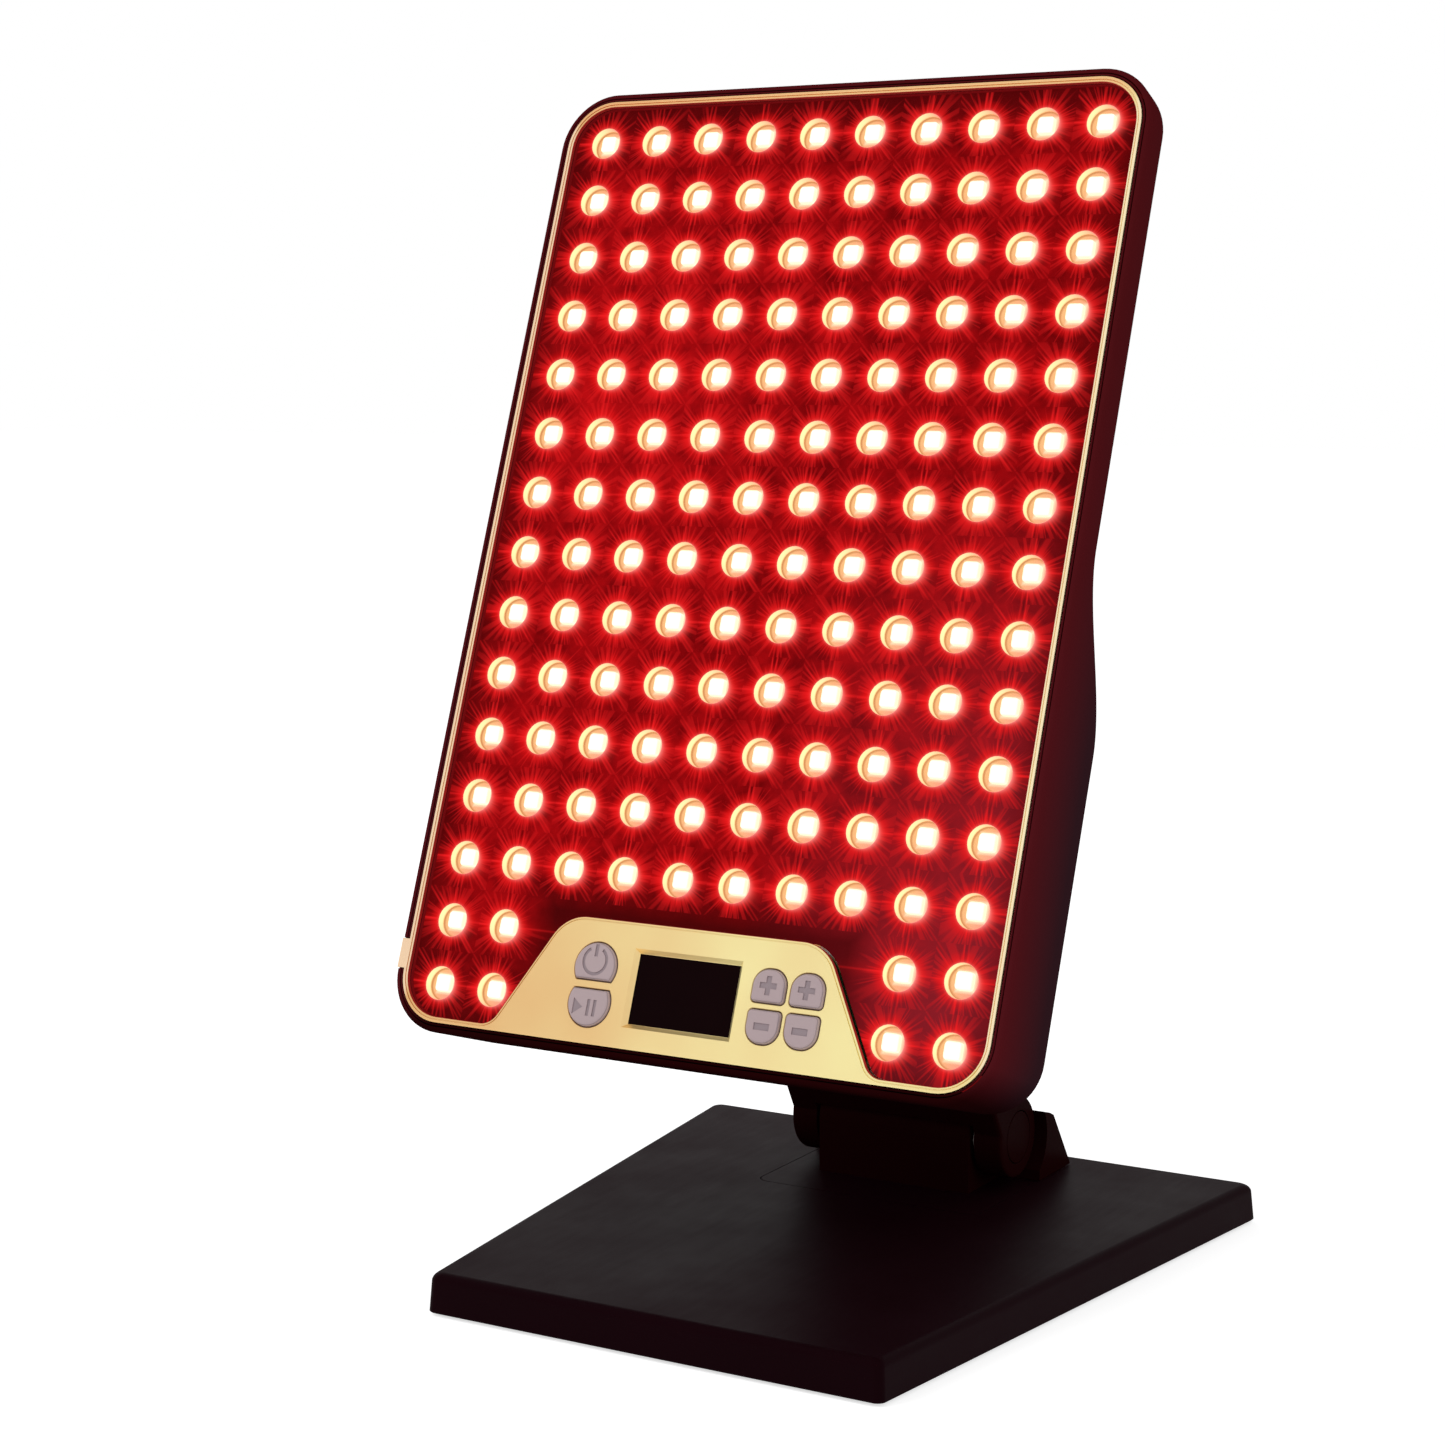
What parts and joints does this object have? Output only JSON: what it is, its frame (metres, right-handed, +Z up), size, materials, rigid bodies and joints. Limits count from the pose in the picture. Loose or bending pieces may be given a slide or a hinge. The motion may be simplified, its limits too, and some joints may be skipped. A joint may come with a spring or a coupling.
{
  "type": "red light therapy panel",
  "caption": "Table-top light therapy panel: a slim leaning head with a grid of lit wells, a gold control strip and keys, on a two-hinge arm and flat weighted base.",
  "frame": {"origin": "on the surface that the feet rest on, under the middle of the base", "axes": "+Z up, -Y towards the user whom the panel faces, +X to the user's right as they look at the panel"},
  "size_m": [0.1938, 0.1992, 0.3453],
  "materials": {
    "base_plastic": "fine matt texture",
    "housing_plastic": "fine satin texture",
    "bracket_plastic": "satin",
    "dark_plastic": "matt",
    "steel": "zinc plated",
    "nylon": "natural nylon",
    "gold_plating": "satin gold plating on plastic",
    "clear_cover": "clear polished sheet",
    "mask_plastic": "dark red, reflective wells",
    "led_board": "white solder mask with lit emitters",
    "aluminium": "mill finish",
    "circuit_board": "green solder mask",
    "component_resin": "moulded resin",
    "display_glass": "dark smoked window",
    "key_rubber": "soft matt",
    "foot_rubber": "matt",
    "black_screw": "black oxide"
  },
  "bodies": {
    "base": {"base_shell": "base_plastic", "base_cover": "dark_plastic", "ballast_plate": "steel", "base_bracket": "bracket_plastic", "base_hinge_pin": "steel", "base_hinge_washer_left": "nylon", "base_hinge_washer_right": "nylon", "rubber_foot_1": "foot_rubber", "rubber_foot_2": "foot_rubber", "rubber_foot_3": "foot_rubber", "rubber_foot_4": "foot_rubber", "cover_screw_1": "black_screw", "cover_screw_2": "black_screw", "cover_screw_3": "black_screw", "cover_screw_4": "black_screw", "cover_screw_5": "black_screw", "cover_screw_6": "black_screw", "base_bracket_screw_1": "steel", "base_bracket_screw_2": "steel", "base_bracket_screw_3": "steel", "base_bracket_screw_4": "steel"},
    "arm": {"arm": "bracket_plastic", "base_hinge_cap_left": "dark_plastic", "base_hinge_cap_right": "dark_plastic", "head_hinge_cap_left": "dark_plastic", "head_hinge_cap_right": "dark_plastic"},
    "head": {"rear_housing": "housing_plastic", "front_bezel": "housing_plastic", "gold_trim": "gold_plating", "front_window": "clear_cover", "led_mask": "mask_plastic", "led_board": "led_board", "heat_spreader": "aluminium", "control_board": "circuit_board", "display_window": "display_glass", "display_module": "component_resin", "driver_board": "circuit_board", "power_inlet": "dark_plastic", "head_bracket": "bracket_plastic", "head_hinge_pin": "steel", "head_hinge_washer_left": "nylon", "head_hinge_washer_right": "nylon", "housing_screw_1": "black_screw", "housing_screw_2": "black_screw", "housing_screw_3": "black_screw", "housing_screw_4": "black_screw", "housing_screw_5": "black_screw", "housing_screw_6": "black_screw", "head_bracket_screw_1": "steel", "head_bracket_screw_2": "steel", "head_bracket_screw_3": "steel", "head_bracket_screw_4": "steel"},
    "power_key": {"power_key": "key_rubber"},
    "pause_key": {"pause_key": "key_rubber"},
    "level_up_key": {"level_up_key": "key_rubber"},
    "level_down_key": {"level_down_key": "key_rubber"},
    "time_up_key": {"time_up_key": "key_rubber"},
    "time_down_key": {"time_down_key": "key_rubber"}
  },
  "joints": [
    {"name": "base_tilt", "type": "hinge", "parent": "base", "child": "arm", "pos_m": [0, 0.058, 0.0285], "axis": [1, 0, 0], "range_deg": [-40, 15]},
    {"name": "head_tilt", "type": "hinge", "parent": "arm", "child": "head", "pos_m": [0, -0.00412, 0.14007], "axis": [1, 0, 0], "range_deg": [-30, 30]},
    {"name": "power_key_press", "type": "slide", "parent": "head", "child": "power_key", "axis": [0, 0.9353, -0.354], "range_m": [0, 0.0008], "stiffness_N_per_m": 600, "springref_m": -0.0004},
    {"name": "pause_key_press", "type": "slide", "parent": "head", "child": "pause_key", "axis": [0, 0.9353, -0.354], "range_m": [0, 0.0008], "stiffness_N_per_m": 600, "springref_m": -0.0004},
    {"name": "level_up_key_press", "type": "slide", "parent": "head", "child": "level_up_key", "axis": [0, 0.9353, -0.354], "range_m": [0, 0.0008], "stiffness_N_per_m": 600, "springref_m": -0.0004},
    {"name": "level_down_key_press", "type": "slide", "parent": "head", "child": "level_down_key", "axis": [0, 0.9353, -0.354], "range_m": [0, 0.0008], "stiffness_N_per_m": 600, "springref_m": -0.0004},
    {"name": "time_up_key_press", "type": "slide", "parent": "head", "child": "time_up_key", "axis": [0, 0.9353, -0.354], "range_m": [0, 0.0008], "stiffness_N_per_m": 600, "springref_m": -0.0004},
    {"name": "time_down_key_press", "type": "slide", "parent": "head", "child": "time_down_key", "axis": [0, 0.9353, -0.354], "range_m": [0, 0.0008], "stiffness_N_per_m": 600, "springref_m": -0.0004}
  ]
}
